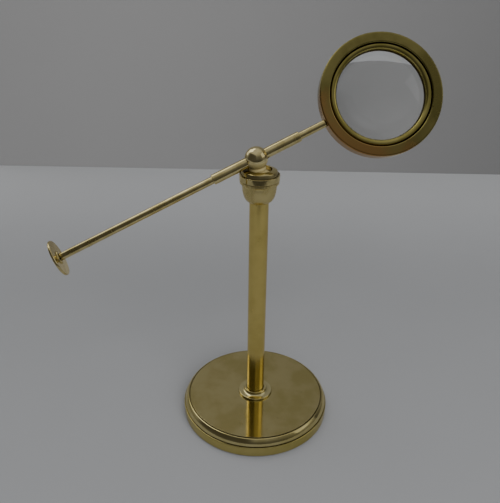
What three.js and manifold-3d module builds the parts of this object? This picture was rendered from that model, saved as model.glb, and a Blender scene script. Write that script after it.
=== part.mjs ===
// Stand magnifier: a round weighted base, a brass pillar, a ball joint clamped under a domed cap,
// and an arm that slides and turns in a sleeve and carries a lens in a turned ring.
// Millimetres, Z up. The origin is the middle of the underside, and the arm lies in the XZ plane.
import * as THREE from "three";
import { mergeVertices } from "three/addons/utils/BufferGeometryUtils.js";
import Module from "manifold-3d";

const wasm = await Module();
wasm.setup();

// Fits shared by all pieces
const seatGap = 0.3; // between a turned piece and its seat
const closeFit = 0.1; // a fixed piece in its hole, on the radius
const runningFit = 0.06; // a piece that slides or turns, on the radius
const ballFit = 0.15; // between the lower ball and what grips it
const cutOverrun = 2; // how far a cutting tool passes a surface

// Turned base
const baseRadius = 54;
const baseHeight = 14;
const footBevel = 0.6;
const plinthHeight = 8.1;
const plinthBevel = 0.5;
const lowerGrooveDepth = 1.4;
const grooveWidth = 0.5;
const shoulderInset = 0.8;
const shoulderDrop = 0.3;
const topDiscRadius = 49.5;
const upperGrooveDepth = 0.8;
const discBevel = 0.35;
const basePlateThickness = 4.5;
const baseWallThickness = 9;

// Baize, weight, washer and nut under the base
const baizeThickness = 1.2;
const baizeProud = 0.4;
const baizeMargin = 3;
const weightBore = 13;
const washerRadius = 7.5;
const washerThickness = 1;
const nutAcrossFlats = 10;
const nutThickness = 4;

// Foot collar
const collarRadius = 12.3;
const collarHeight = 4.2;
const collarEdge = 1.5;
const collarRingRadius = 8.3;
const collarRingHeight = 1.4;
const collarBevel = 0.4;

// Pillar, with a plug soldered in each end
const pillarLength = 155.3;
const pillarRadius = 6.35;
const pillarWall = 1.1;
const plugLength = 12;
const plugBevel = 0.6;
const studRadius = 3;
const studBelowNut = 0.7;

// Ball joint: cup, leather seat, lower ball and domed cap
const stemBallRadius = 9.5;
const seatThickness = 1;
const seatHoleRadius = 3;
const seatRadius = 7.6;
const cupRadius = 11;
const cupFloor = 2;
const cupFootLedge = 0.2;
const cupScrewLength = 9;
const flangeRadius = 12.7;
const flangeThickness = 2.1;
const flangeCove = 1.5;
const flangeBevel = 0.3;
const cupNeckHeight = 2;
const capRadius = 13;
const capSkirt = 1.3;
const capRimHeight = 3.8;
const capRimBevel = 0.45;
const capGrooveWidth = 0.55;
const capGrooveDepth = 0.5;
const domeRadius = 13;
const lipRadius = 9.1;
const lipWidth = 0.35;
const capHoleRadius = 7.5;

// Neck and cross-drilled arm ball
const ballSpacing = 16.6;
const neckRadius = 4.6;
const armBallRadius = 7.35;
const stemScrewRadius = 1.9;
const ballMouthBevel = 0.3;

// Sleeve, liner and sliding rod
const sleeveHalfLength = 30.2;
const sleeveRadius = 3.35;
const sleeveBevel = 0.2;
const linerThickness = 0.35;
const linerSetback = 0.4;
const rodRadius = 2.4;
const rodScrewRadius = 1.7;
const rodScrewLength = 4.4;
const rodTipBevel = 0.3;

// Knob at the hand end of the rod
const knobReach = 135.9; // arm ball centre to the knob's inner face
const knobRadius = 11.75;
const knobEdge = 1.6;
const knobDome = 0.9;
const knobHubRadius = 4.2;
const knobHubHeight = 0.7;
const knobBevel = 0.35;

// Lens ring, threaded retaining ring and lens
const lensReach = 87.2; // arm ball centre to the ring's centre
const ringRadius = 38.75;
const ringDepth = 9;
const ringBevel = 0.6;
const ringBoreRadius = 32.3;
const ringMouthBevel = 0.3;
const rearOpeningRadius = 29.2;
const rearFlare = 0.8;
const glassRadius = 30.4;
const glassEdge = 1;
const glassCurve = 84; // radius of both faces
const glassDepth = 5.9; // ring's front face to the front of the glass's edge
const retainerSink = 0.5;
const retainerFlat = 0.8;
const retainerBevel = 0.6;
const retainerLip = 0.8;
const retainerOpening = 27.9;

// Pose at rest, in degrees
const stemLean = 8.5;
const armRise = 23.65;
const lensRoll = 29.2;

// Facets round each turned piece, steps along a curve, and sides of the nut
const wideFacets = 56;
const middleFacets = 28;
const smallFacets = 24;
const shortCurveSteps = 2;
const curveSteps = 3;
const shoulderSteps = 5;
const ballSteps = 6;
const nutSides = 6;

// Levels and radii that several pieces share
const baseCeiling = baseHeight - basePlateThickness;
const hollowRadius = baseRadius - baseWallThickness;
const recessRadius = baseRadius - baizeMargin;
const studEnd = baseCeiling - washerThickness - nutThickness - studBelowNut;
const pillarBore = pillarRadius - pillarWall;
const cupBase = baseHeight + pillarLength;
const gripRadius = stemBallRadius + ballFit;
const seatOuterRadius = gripRadius + seatThickness;
const cupBowlRadius = seatOuterRadius + closeFit;
const cupBore = gripRadius + ballFit;
const pivotHeight = cupBase + cupFloor + cupBowlRadius;
const flangeTop = pivotHeight + flangeThickness;
const cupNeckTop = flangeTop + cupNeckHeight;
const capBore = capRadius - capSkirt;
const capBase = flangeTop + closeFit;
const capShelf = cupNeckTop + closeFit;
const capRimTop = capBase + capRimHeight;
const armBallFlat = Math.sqrt(armBallRadius ** 2 - neckRadius ** 2);
const sleeveBore = rodRadius + linerThickness + 2 * runningFit;
const ringFront = ringDepth / 2;
const glassFront = ringFront - glassDepth;
const glassRear = glassFront - glassEdge;
const leanAngle = THREE.MathUtils.degToRad(stemLean);
const armAngle = THREE.MathUtils.degToRad(armRise) - leanAngle; // between the arm and the square to its stem

// Materials, one for each finish
function finish(color, roughness, metalness) {
  return new THREE.MeshStandardMaterial({ color, roughness, metalness });
}

const polishedBrass = finish(0xb79a4c, 0.16, 1);
const satinBrass = finish(0x9a8440, 0.3, 1);
const agedBrass = finish(0x7d6a34, 0.34, 1);
const castIron = finish(0x3b3a38, 0.7, 0.8);
const steel = finish(0x8d9094, 0.35, 1);
const greenBaize = finish(0x1f4a31, 0.95, 0);
const leather = finish(0x5a3a22, 0.8, 0);
const crownGlass = new THREE.MeshStandardMaterial({
  color: 0xe6efec,
  roughness: 0.03,
  metalness: 0,
  transparent: true,
  opacity: 0.35,
});

// An outline in radius and height, drawn anticlockwise, turned round the Z axis
function turned(outline, facets, steps = curveSteps) {
  const geometry = new THREE.LatheGeometry(outline.getPoints(steps), facets);
  return geometry.rotateX(Math.PI / 2);
}

// A path through corners given as pairs of radius and height
function corners(...places) {
  const path = new THREE.Path();
  path.moveTo(...places[0]);
  places.slice(1).forEach((place) => path.lineTo(...place));
  return path;
}

// A tube's outline, with its outer corners bevelled
function tubeOutline(inner, outer, low, high, bevel) {
  return corners(
    [inner, low],
    [outer - bevel, low],
    [outer, low + bevel],
    [outer, high - bevel],
    [outer - bevel, high],
    [inner, high],
    [inner, low],
  );
}

// A plain ring's outline, with square corners
function ringOutline(inner, outer, low, high) {
  return corners([inner, low], [outer, low], [outer, high], [inner, high], [inner, low]);
}

// A closed mesh as a solid that can be joined and cut
function solidOf(geometry) {
  const bare = geometry.clone();
  bare.deleteAttribute("normal");
  bare.deleteAttribute("uv");
  const merged = mergeVertices(bare);
  const mesh = new wasm.Mesh({
    numProp: 3,
    vertProperties: merged.attributes.position.array,
    triVerts: new Uint32Array(merged.index.array),
  });
  return new wasm.Manifold(mesh);
}

// The body with each tool cut out of it
function cut(body, ...tools) {
  const left = tools.reduce((solid, tool) => solid.subtract(solidOf(tool)), solidOf(body));
  const mesh = left.getMesh();
  const geometry = new THREE.BufferGeometry();
  const places = new THREE.BufferAttribute(new Float32Array(mesh.vertProperties), mesh.numProp);
  geometry.setAttribute("position", places);
  geometry.setIndex(new THREE.BufferAttribute(new Uint32Array(mesh.triVerts), 1));
  geometry.computeVertexNormals();
  return geometry;
}

// A round tool along X, from one place to another, with a radius at each end
function toolAlongX(from, fromRadius, to, toRadius) {
  const geometry = new THREE.CylinderGeometry(toRadius, fromRadius, to - from, smallFacets);
  geometry.rotateZ(-Math.PI / 2);
  return geometry.translate((from + to) / 2, 0, 0);
}

// Lays a piece that is drawn round Z along the arm
function alongArm(geometry) {
  return geometry.rotateY(Math.PI / 2);
}

// Turns a piece that is drawn round Z so that its top faces the user
function facingUser(geometry) {
  return geometry.rotateX(Math.PI / 2);
}

// How far a glass face falls from its crown at a radius
function glassFall(radius) {
  return glassCurve - Math.sqrt(glassCurve ** 2 - radius ** 2);
}

// Base: a plinth, a groove, a rounded shoulder, a second groove and a flat polished disc
function baseBody() {
  const bore = studRadius + closeFit;
  const shoulderRadius = baseRadius - shoulderInset;
  const shoulderTop = baseHeight - shoulderDrop;
  const grooveTop = plinthHeight + grooveWidth;
  const path = corners(
    [bore, baseCeiling],
    [hollowRadius, baseCeiling],
    [hollowRadius, baizeThickness],
    [recessRadius, baizeThickness],
    [recessRadius, baizeProud],
    [baseRadius - footBevel, baizeProud],
    [baseRadius, baizeProud + footBevel],
    [baseRadius, plinthHeight - plinthBevel],
    [baseRadius - plinthBevel, plinthHeight],
    [baseRadius - lowerGrooveDepth, plinthHeight],
    [baseRadius - lowerGrooveDepth, grooveTop],
    [shoulderRadius, grooveTop],
  );
  path.quadraticCurveTo(shoulderRadius, shoulderTop, topDiscRadius + grooveWidth, shoulderTop);
  path.lineTo(topDiscRadius + grooveWidth, shoulderTop - upperGrooveDepth);
  path.lineTo(topDiscRadius, shoulderTop - upperGrooveDepth);
  path.lineTo(topDiscRadius, baseHeight - discBevel);
  path.lineTo(topDiscRadius - discBevel, baseHeight);
  path.lineTo(bore, baseHeight);
  path.lineTo(bore, baseCeiling);
  return turned(path, wideFacets, shoulderSteps);
}

function baizePad() {
  const radius = recessRadius - closeFit;
  return turned(corners([0, 0], [radius, 0], [radius, baizeThickness], [0, baizeThickness]), wideFacets);
}

function baseWeight() {
  const outline = ringOutline(weightBore, hollowRadius - closeFit, baizeThickness, baseCeiling);
  return turned(outline, middleFacets);
}

function washer() {
  const low = baseCeiling - washerThickness;
  return turned(ringOutline(studRadius + closeFit, washerRadius, low, baseCeiling), smallFacets);
}

function hexagonNut() {
  const corner = nutAcrossFlats / 2 / Math.cos(Math.PI / nutSides);
  const places = Array.from({ length: nutSides }, (_, side) => {
    const angle = (side * 2 * Math.PI) / nutSides;
    return new THREE.Vector2(corner * Math.cos(angle), corner * Math.sin(angle));
  });
  const shape = new THREE.Shape(places);
  const hole = new THREE.Path();
  hole.absarc(0, 0, studRadius + closeFit, 0, 2 * Math.PI, true);
  shape.holes.push(hole);
  const settings = { depth: nutThickness, bevelEnabled: false, curveSegments: smallFacets };
  const low = baseCeiling - washerThickness - nutThickness;
  return new THREE.ExtrudeGeometry(shape, settings).translate(0, 0, low);
}

// Collar: a thin flange swept up in a cove to a narrow ring round the pillar
function footCollar() {
  const bore = pillarRadius + closeFit;
  const top = baseHeight + collarHeight;
  const edgeTop = baseHeight + collarEdge;
  const path = corners(
    [bore, baseHeight],
    [collarRadius - collarBevel, baseHeight],
    [collarRadius, baseHeight + collarBevel],
    [collarRadius, edgeTop - collarBevel],
    [collarRadius - collarBevel, edgeTop],
  );
  path.quadraticCurveTo(collarRingRadius, edgeTop, collarRingRadius, top - collarRingHeight);
  path.lineTo(collarRingRadius, top - collarBevel);
  path.lineTo(collarRingRadius - collarBevel, top);
  path.lineTo(bore, top);
  path.lineTo(bore, baseHeight);
  return turned(path, middleFacets);
}

function pillarTube() {
  return turned(ringOutline(pillarBore, pillarRadius, baseHeight, cupBase), middleFacets);
}

// Lower plug, with the stud that the nut pulls down through the base
function footPlug() {
  const radius = pillarBore - closeFit;
  const top = baseHeight + plugLength;
  const outline = corners(
    [0, studEnd],
    [studRadius - plugBevel, studEnd],
    [studRadius, studEnd + plugBevel],
    [studRadius, baseHeight],
    [radius, baseHeight],
    [radius, top - plugBevel],
    [radius - plugBevel, top],
    [0, top],
  );
  return turned(outline, middleFacets);
}

// Upper plug, bored for the screw under the cup
function headPlug() {
  const low = cupBase - plugLength;
  return turned(ringOutline(studRadius + closeFit, pillarBore - closeFit, low, cupBase), middleFacets);
}

// Cup: a bowl on the pillar, a flange, and a threaded neck inside the cap
function socketCup() {
  const footRadius = pillarRadius + cupFootLedge;
  const bowlCentre = cupBase + Math.sqrt(cupRadius ** 2 - footRadius ** 2);
  const neckOutside = capBore - closeFit;
  const screwEnd = cupBase - cupScrewLength;
  const path = corners(
    [0, screwEnd],
    [studRadius - plugBevel, screwEnd],
    [studRadius, screwEnd + plugBevel],
    [studRadius, cupBase],
    [footRadius, cupBase],
  );
  path.absarc(0, bowlCentre, cupRadius, -Math.acos(footRadius / cupRadius), 0, false);
  path.lineTo(cupRadius, pivotHeight - flangeCove);
  path.quadraticCurveTo(cupRadius, pivotHeight, flangeRadius - flangeBevel, pivotHeight);
  path.lineTo(flangeRadius, pivotHeight + flangeBevel);
  path.lineTo(flangeRadius, flangeTop - flangeBevel);
  path.lineTo(flangeRadius - flangeBevel, flangeTop);
  path.lineTo(neckOutside, flangeTop);
  path.lineTo(neckOutside, cupNeckTop);
  path.lineTo(cupBore, cupNeckTop);
  path.absarc(0, pivotHeight, cupBowlRadius, -Math.acos(cupBore / cupBowlRadius), -Math.PI / 2, true);
  return turned(path, middleFacets);
}

// Leather seat: a dished washer between the cup's bowl and the lower ball
function ballSeat() {
  const path = new THREE.Path();
  const angleAt = (radius, sphere) => -Math.acos(radius / sphere);
  const outerFrom = angleAt(seatHoleRadius, seatOuterRadius);
  const outerTo = angleAt(seatRadius, seatOuterRadius);
  path.absarc(0, pivotHeight, seatOuterRadius, outerFrom, outerTo, false);
  const innerFrom = angleAt(seatRadius, gripRadius);
  const innerTo = angleAt(seatHoleRadius, gripRadius);
  path.absarc(0, pivotHeight, gripRadius, innerFrom, innerTo, true);
  path.closePath();
  return turned(path, middleFacets, shortCurveSteps);
}

// Cap: a rim, a turned groove, and a dome with a wide hole for the neck to lean in
function socketCap() {
  const grooveFloor = capRimTop - capGrooveDepth;
  const domeFoot = Math.sqrt(domeRadius ** 2 - (grooveFloor - pivotHeight) ** 2);
  const domeFrom = Math.asin((grooveFloor - pivotHeight) / domeRadius);
  const domeTo = Math.acos(lipRadius / domeRadius);
  const lipTop = pivotHeight + domeRadius * Math.sin(domeTo);
  const path = corners(
    [capBore, capBase],
    [capRadius - capRimBevel, capBase],
    [capRadius, capBase + capRimBevel],
    [capRadius, capRimTop - capRimBevel],
    [capRadius - capRimBevel, capRimTop],
    [domeFoot + capGrooveWidth, capRimTop],
    [domeFoot + capGrooveWidth, grooveFloor],
  );
  path.absarc(0, pivotHeight, domeRadius, domeFrom, domeTo, false);
  path.lineTo(lipRadius - lipWidth, lipTop);
  const gripFrom = Math.acos(capHoleRadius / gripRadius);
  const gripTo = Math.asin((capShelf - pivotHeight) / gripRadius);
  path.absarc(0, pivotHeight, gripRadius, gripFrom, gripTo, true);
  path.lineTo(capBore, capShelf);
  path.lineTo(capBore, capBase);
  return turned(path, middleFacets);
}

// Lower ball, drawn round its own centre, with the neck and the screw that holds the arm ball
function stemBall() {
  const neckTop = ballSpacing - armBallFlat - seatGap;
  const sleeveUnderside = sleeveRadius / Math.cos(armAngle) + stemScrewRadius * Math.tan(armAngle);
  const screwTop = ballSpacing - sleeveUnderside - seatGap;
  const path = new THREE.Path();
  path.absarc(0, 0, stemBallRadius, -Math.PI / 2, Math.acos(neckRadius / stemBallRadius), false);
  path.lineTo(neckRadius, neckTop);
  path.lineTo(stemScrewRadius, neckTop);
  path.lineTo(stemScrewRadius, screwTop);
  path.lineTo(0, screwTop);
  return turned(path, middleFacets, ballSteps);
}

// Arm ball: flat under the neck, tapped for the stem's screw, and bored aslant for the sleeve
function armBall() {
  const bore = sleeveRadius + closeFit;
  const mouth = Math.sqrt(armBallRadius ** 2 - bore ** 2);
  const path = corners([0, -armBallFlat], [neckRadius, -armBallFlat]);
  path.absarc(0, 0, armBallRadius, -Math.acos(neckRadius / armBallRadius), Math.PI / 2, false);
  const ball = turned(path, middleFacets, ballSteps);
  const reach = armBallRadius + cutOverrun;
  const sleeveBoreTool = toolAlongX(-reach, bore, reach, bore);
  const coneDepth = 2 * ballMouthBevel;
  const coneInner = bore - ballMouthBevel;
  const coneOuter = coneInner + 2 * coneDepth;
  const rightMouth = toolAlongX(mouth - coneDepth, coneInner, mouth + coneDepth, coneOuter);
  const leftMouth = toolAlongX(-mouth - coneDepth, coneOuter, coneDepth - mouth, coneInner);
  const crossTools = [sleeveBoreTool, rightMouth, leftMouth].map((tool) => tool.rotateY(-armAngle));
  const screwRadius = stemScrewRadius + closeFit;
  const screwHole = new THREE.CylinderGeometry(screwRadius, screwRadius, reach, smallFacets);
  screwHole.rotateX(Math.PI / 2).translate(0, 0, -reach / 2);
  return cut(ball, ...crossTools, screwHole);
}

function armSleeve() {
  const outline = tubeOutline(sleeveBore, sleeveRadius, -sleeveHalfLength, sleeveHalfLength, sleeveBevel);
  return alongArm(turned(outline, smallFacets));
}

function sleeveLiner() {
  const half = sleeveHalfLength - linerSetback;
  const inner = rodRadius + runningFit;
  return alongArm(turned(ringOutline(inner, inner + linerThickness, -half, half), smallFacets));
}

// Rod: a plain round bar with a screw at each end, into the knob and into the lens ring
function slideRod() {
  const knobFace = -knobReach + knobHubHeight;
  const knobEnd = -knobReach - knobEdge - knobDome;
  const ringWall = lensReach - ringRadius;
  const outline = corners(
    [0, knobEnd],
    [rodScrewRadius - rodTipBevel, knobEnd],
    [rodScrewRadius, knobEnd + rodTipBevel],
    [rodScrewRadius, knobFace + seatGap],
    [rodRadius, knobFace + seatGap],
    [rodRadius, ringWall - seatGap],
    [rodScrewRadius, ringWall - seatGap],
    [rodScrewRadius, ringWall + rodScrewLength - rodTipBevel],
    [rodScrewRadius - rodTipBevel, ringWall + rodScrewLength],
    [0, ringWall + rodScrewLength],
  );
  return alongArm(turned(outline, smallFacets));
}

// Knob: a thin disc, domed outside, with a low hub where the rod enters
function knobDisc() {
  const bore = rodScrewRadius + closeFit;
  const inside = -knobReach;
  const outside = -knobReach - knobEdge;
  const hubTop = inside + knobHubHeight;
  const path = new THREE.Path();
  path.moveTo(bore, outside - knobDome);
  path.quadraticCurveTo(knobRadius / 2, outside - knobDome, knobRadius - knobBevel, outside);
  path.lineTo(knobRadius, outside + knobBevel);
  path.lineTo(knobRadius, inside - knobBevel);
  path.lineTo(knobRadius - knobBevel, inside);
  path.lineTo(knobHubRadius + knobHubHeight, inside);
  path.lineTo(knobHubRadius, hubTop);
  path.lineTo(bore, hubTop);
  path.lineTo(bore, outside - knobDome);
  return alongArm(turned(path, middleFacets));
}

// Lens ring: a turned ring with a bore in front, a ledge for the glass and a flared back
function lensFrame() {
  const back = -ringFront;
  const pocket = glassRadius + closeFit;
  const ledge = glassRear - glassFall(glassRadius) + glassFall(rearOpeningRadius) - seatGap;
  const outline = corners(
    [rearOpeningRadius + rearFlare, back],
    [ringRadius - ringBevel, back],
    [ringRadius, back + ringBevel],
    [ringRadius, ringFront - ringBevel],
    [ringRadius - ringBevel, ringFront],
    [ringBoreRadius + ringMouthBevel, ringFront],
    [ringBoreRadius, ringFront - ringMouthBevel],
    [ringBoreRadius, glassFront],
    [pocket, glassFront],
    [pocket, ledge],
    [rearOpeningRadius, ledge],
    [rearOpeningRadius, back + rearFlare],
    [rearOpeningRadius + rearFlare, back],
  );
  const ring = facingUser(turned(outline, wideFacets));
  const holeEnd = rodScrewLength + seatGap - ringRadius;
  const holeRadius = rodScrewRadius + closeFit;
  return cut(ring, toolAlongX(-ringRadius - cutOverrun, holeRadius, holeEnd, holeRadius));
}

// Retaining ring: screwed in from the front, rounded over towards the glass
function lensRetainer() {
  const outside = ringBoreRadius - closeFit;
  const low = glassFront + glassFall(glassRadius) - glassFall(retainerOpening) + seatGap;
  const top = ringFront - retainerSink;
  const path = corners(
    [retainerOpening, low],
    [outside, low],
    [outside, top - retainerBevel],
    [outside - retainerBevel, top],
    [outside - retainerBevel - retainerFlat, top],
  );
  path.quadraticCurveTo(retainerOpening, top, retainerOpening, low + retainerLip);
  path.lineTo(retainerOpening, low);
  return facingUser(turned(path, wideFacets));
}

// Lens: two equal convex faces and a narrow ground edge
function lens() {
  const fall = glassFall(glassRadius);
  const frontCentre = glassFront + fall - glassCurve;
  const rearCentre = glassRear - fall + glassCurve;
  const edgeAngle = Math.acos(glassRadius / glassCurve);
  const path = new THREE.Path();
  path.absarc(0, rearCentre, glassCurve, -Math.PI / 2, -edgeAngle, false);
  path.absarc(0, frontCentre, glassCurve, edgeAngle, Math.PI / 2, false);
  return facingUser(turned(path, middleFacets));
}

function addPiece(parent, name, geometry, material) {
  const mesh = new THREE.Mesh(geometry, material);
  mesh.name = name;
  parent.add(mesh);
}

function addStand(parent) {
  addPiece(parent, "base_body", baseBody(), polishedBrass);
  addPiece(parent, "base_baize", baizePad(), greenBaize);
  addPiece(parent, "base_weight", baseWeight(), castIron);
  addPiece(parent, "base_washer", washer(), steel);
  addPiece(parent, "base_nut", hexagonNut(), steel);
  addPiece(parent, "foot_collar", footCollar(), polishedBrass);
  addPiece(parent, "pillar_tube", pillarTube(), polishedBrass);
  addPiece(parent, "pillar_foot_plug", footPlug(), satinBrass);
  addPiece(parent, "pillar_head_plug", headPlug(), satinBrass);
  addPiece(parent, "socket_cup", socketCup(), polishedBrass);
  addPiece(parent, "ball_seat", ballSeat(), leather);
  addPiece(parent, "socket_cap", socketCap(), polishedBrass);
}

function addRod(parent) {
  const rod = new THREE.Group();
  rod.rotation.x = -THREE.MathUtils.degToRad(lensRoll);
  parent.add(rod);
  addPiece(rod, "slide_rod", slideRod(), polishedBrass);
  addPiece(rod, "knob_disc", knobDisc(), polishedBrass);
  const cell = new THREE.Group();
  cell.position.x = lensReach;
  rod.add(cell);
  addPiece(cell, "lens_frame", lensFrame(), agedBrass);
  addPiece(cell, "lens_retainer", lensRetainer(), agedBrass);
  addPiece(cell, "lens", lens(), crownGlass);
}

// The head leans away from the lens, and the arm rises towards it
function addHead(parent) {
  const head = new THREE.Group();
  head.position.z = pivotHeight;
  head.rotation.y = -leanAngle;
  parent.add(head);
  addPiece(head, "stem_ball", stemBall(), satinBrass);
  addPiece(head, "arm_ball", armBall().translate(0, 0, ballSpacing), polishedBrass);
  const arm = new THREE.Group();
  arm.position.z = ballSpacing;
  arm.rotation.y = -armAngle;
  head.add(arm);
  addPiece(arm, "arm_sleeve", armSleeve(), polishedBrass);
  addPiece(arm, "sleeve_liner", sleeveLiner(), leather);
  addRod(arm);
}

const magnifier = new THREE.Group();
addStand(magnifier);
addHead(magnifier);
export default magnifier;
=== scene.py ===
# %% [markdown]
# # A brass desk magnifier
# The object is a reading lens on a heavy turned foot. A domed cap clamps a ball on top of the
# pillar, and an arm slides and turns in a sleeve through a second ball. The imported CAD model
# gives the mechanism and all the sizes. This lesson turns each visible piece again, finely enough
# for polished metal, and gives every piece its finish.

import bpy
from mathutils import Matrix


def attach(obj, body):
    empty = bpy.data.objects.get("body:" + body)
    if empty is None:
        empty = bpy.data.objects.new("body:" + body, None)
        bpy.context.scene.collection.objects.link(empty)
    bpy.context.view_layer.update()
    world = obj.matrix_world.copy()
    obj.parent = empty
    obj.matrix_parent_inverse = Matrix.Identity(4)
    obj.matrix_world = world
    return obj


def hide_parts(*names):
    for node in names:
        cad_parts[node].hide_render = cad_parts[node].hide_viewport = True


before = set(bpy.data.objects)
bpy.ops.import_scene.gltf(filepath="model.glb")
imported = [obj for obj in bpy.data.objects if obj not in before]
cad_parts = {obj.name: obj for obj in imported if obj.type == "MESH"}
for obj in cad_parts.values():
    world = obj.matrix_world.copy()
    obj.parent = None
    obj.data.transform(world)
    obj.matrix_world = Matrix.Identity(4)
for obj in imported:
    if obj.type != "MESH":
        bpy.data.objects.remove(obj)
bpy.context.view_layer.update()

import math

import bmesh
import bpy
from mathutils import Matrix, Vector
from mathutils.geometry import interpolate_bezier

# %% [markdown]
# The photograph was taken by hand, from in front of the arm, above it and a little to the left of
# the pillar. The camera's place and direction come from a fit to the base, the pillar and the
# lens ring. The film is 36 mm on its long side, so the focal length follows from the picture's
# height in pixels.

# %% Camera
MM = 0.001
PICTURE_HEIGHT = 503
FOCAL_PIXELS = 588.18
FILM_SIDE = 36
CAMERA_PLACE = Vector((-98.41, -339.18, 312.93)) * MM
CAMERA_LOOK = Vector((0.234994, 0.859291, -0.454308))
CAMERA_UP = Vector((0.106300, 0.441874, 0.890757))


def aimed(place, look, up):
    """The matrix of a camera or a lamp that looks along look."""
    back = -look.normalized()
    right = up.cross(back).normalized()
    turn = Matrix((right, back.cross(right), back)).transposed()
    return Matrix.Translation(place) @ turn.to_4x4()


def add_camera():
    data = bpy.data.cameras.new("camera")
    data.sensor_width = FILM_SIDE
    data.lens = FILM_SIDE * FOCAL_PIXELS / PICTURE_HEIGHT
    data.clip_start = MM
    camera = bpy.data.objects.new("camera", data)
    bpy.context.scene.collection.objects.link(camera)
    camera.matrix_world = aimed(CAMERA_PLACE, CAMERA_LOOK, CAMERA_UP)
    bpy.context.scene.camera = camera
    print("camera:", round(data.lens, 2), "mm lens")


add_camera()

# %% [markdown]
# Nearly every piece comes off a lathe, so the work starts with an outline: a radius and a height
# for each corner, in millimetres. Straight runs are extruded from the last corner, arcs are that
# corner spun round their centre, and coves and rounds are short Bezier curves. An outline could
# also be modelled as a curve with a Screw modifier, but here the mesh is wanted at once, for
# bevelling.

# %% Drawing an outline
CURVE_PULL = 2 / 3


class Outline:
    """A turner's outline, drawn from corner to corner in the XZ plane."""

    def __init__(self, radius, height):
        self.mesh = bmesh.new()
        self.start = self.mesh.verts.new((radius, 0, height))
        self.pen = self.start

    def line(self, *corners):
        for radius, height in corners:
            made = bmesh.ops.extrude_vert_indiv(self.mesh, verts=[self.pen])
            self.pen = made["verts"][0]
            self.pen.co = (radius, 0, height)
        return self

    def arc(self, radius, height, degrees, steps):
        """The last corner, spun anticlockwise round a centre."""
        made = bmesh.ops.spin(self.mesh, geom=[self.pen], cent=(radius, 0, height),
                              axis=(0, -1, 0), angle=math.radians(degrees), steps=steps)
        ends = [item for item in made["geom_last"] if isinstance(item, bmesh.types.BMVert)]
        self.pen = ends[0]
        return self

    def curve(self, corner, end, steps):
        """A curve that leaves towards a corner and arrives from it."""
        first, last = self.pen.co.copy(), Vector((end[0], 0, end[1]))
        middle = Vector((corner[0], 0, corner[1]))
        handles = first.lerp(middle, CURVE_PULL), last.lerp(middle, CURVE_PULL)
        points = interpolate_bezier(first, *handles, last, steps + 1)
        return self.line(*[(point.x, point.z) for point in points[1:]])

    def close(self):
        self.mesh.edges.new((self.pen, self.start))
        return self


# %% [markdown]
# Then the outline is spun a full turn about its axis. The seam and the poles are welded, the
# normals are made to point outwards, and every crisp corner gets a small round, because on real
# polished metal it is these edges that catch the light. The weighted normals keep the flats flat
# beside them.

# %% Turning, softening and finishing a piece
CRISP_ANGLE = math.radians(25)
SOFT_SEGMENTS = 3


def turn(outline, steps):
    mesh = outline.mesh
    bmesh.ops.spin(mesh, geom=mesh.verts[:] + mesh.edges[:], cent=(0, 0, 0), axis=(0, 0, 1),
                   angle=math.tau, steps=steps, use_merge=True)
    bmesh.ops.remove_doubles(mesh, verts=mesh.verts, dist=MM)
    bmesh.ops.recalc_face_normals(mesh, faces=mesh.faces)
    return mesh


def soften(mesh, width):
    """Rounds each edge where the faces turn by more than the crisp angle."""
    crisp = [edge for edge in mesh.edges
             if edge.is_manifold and edge.calc_face_angle() > CRISP_ANGLE]
    bmesh.ops.bevel(mesh, geom=crisp, offset=width, offset_type="OFFSET", segments=SOFT_SEGMENTS,
                    profile=0.5, affect="EDGES", clamp_overlap=True, material=-1)
    return mesh


def finish_piece(mesh, name, material, body, node, place=Matrix.Identity(4)):
    """Scales the mesh to metres, keeps its own coordinates for the finish, and places it."""
    bmesh.ops.scale(mesh, vec=(MM, MM, MM), verts=mesh.verts)
    own = mesh.verts.layers.float_vector.new("own")
    for corner in mesh.verts:
        corner[own] = corner.co
    metres = place.copy()
    metres.translation *= MM
    mesh.transform(metres)
    for face in mesh.faces:
        face.smooth = True
    data = bpy.data.meshes.new(name)
    mesh.to_mesh(data)
    mesh.free()
    data.materials.append(material)
    piece = bpy.data.objects.new(name, data)
    bpy.context.scene.collection.objects.link(piece)
    piece.modifiers.new("weighted_normals", "WEIGHTED_NORMAL").keep_sharp = True
    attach(piece, body)
    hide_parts(node)
    print(name, len(data.polygons), "faces")


# %% [markdown]
# Small helpers keep the node trees readable. Each one adds a shader node, whose inputs are values
# or the outputs of other nodes. The two that do most of the work are spread, which maps a value
# from one range to another with soft ends, and mix, which goes from one colour to another.

# %% Adding shader nodes
def feed(tree, socket, value):
    """Joins a socket to another node's output, or gives it a value of its own."""
    if isinstance(value, bpy.types.NodeSocket):
        tree.links.new(value, socket)
    else:
        socket.default_value = value


def add(tree, kind, settings=None, **inputs):
    made = tree.nodes.new("ShaderNode" + kind)
    for key, value in (settings or {}).items():
        setattr(made, key, value)
    for key, value in inputs.items():
        feed(tree, made.inputs[key.replace("_", " ")], value)
    return made


def add_in_order(tree, kind, settings, *values):
    """A node whose inputs are fed in their order, because some of them share a name."""
    made = add(tree, kind, settings)
    for socket, value in zip(made.inputs, values):
        feed(tree, socket, value)
    return made


def math_node(tree, operation, first, second=0.0):
    made = add_in_order(tree, "Math", {"operation": operation}, first, second)
    return made.outputs["Value"]


def dot_product(tree, first, second):
    made = add_in_order(tree, "VectorMath", {"operation": "DOT_PRODUCT"}, first, second)
    return made.outputs["Value"]


def spread(tree, value, low, high, to_low, to_high):
    made = add(tree, "MapRange", {"interpolation_type": "SMOOTHSTEP"}, Value=value,
               From_Min=low, From_Max=high, To_Min=to_low, To_Max=to_high)
    return made.outputs["Result"]


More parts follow.
